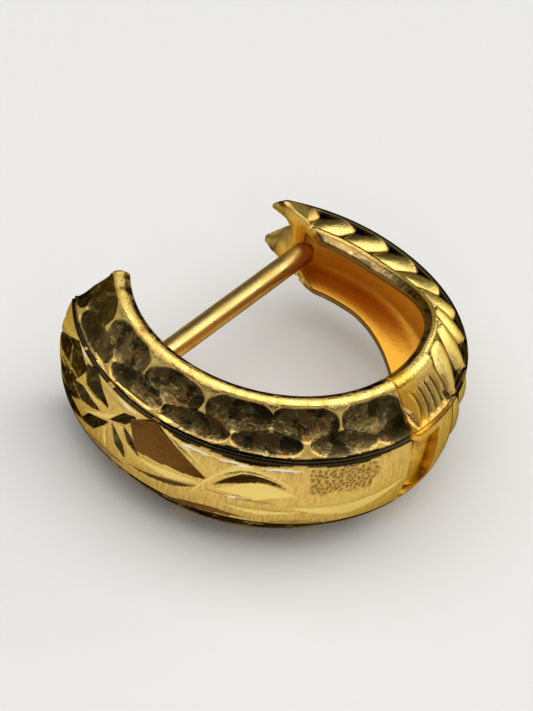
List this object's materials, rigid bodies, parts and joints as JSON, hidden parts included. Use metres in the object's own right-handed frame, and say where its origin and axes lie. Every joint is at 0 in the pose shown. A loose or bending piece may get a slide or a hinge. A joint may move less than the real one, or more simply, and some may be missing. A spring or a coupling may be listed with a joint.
{
  "type": "huggie earring",
  "caption": "Huggie earring of engraved yellow gold: a wide scooped front half with an ear post and a narrowing hinged back half with a notched catch.",
  "frame": {"origin": "middle of the hoop, on the surface that the earring lies on, which is the plane of its lower rims", "axes": "+Z along the hoop's axis, up from the lower rims to the upper ones; +X to the right and +Y away as seen in the picture, with the front half towards -Y and the hinge on the +X side"},
  "size_m": [0.0139, 0.014, 0.0059],
  "materials": {
    "engraved_gold": "polished and diamond cut",
    "engraved_gold_back": "polished and diamond cut",
    "pin_gold": "drawn wire"
  },
  "bodies": {
    "front": {"front_half": "engraved_gold", "hinge_pin": "pin_gold"},
    "back": {"back_half": "engraved_gold_back"}
  },
  "joints": [
    {"name": "back_swing", "type": "hinge", "parent": "front", "child": "back", "pos_m": [0.00541, -0.00313, 0.00295], "axis": [0, 0, -1], "range_deg": [0, 60]}
  ]
}
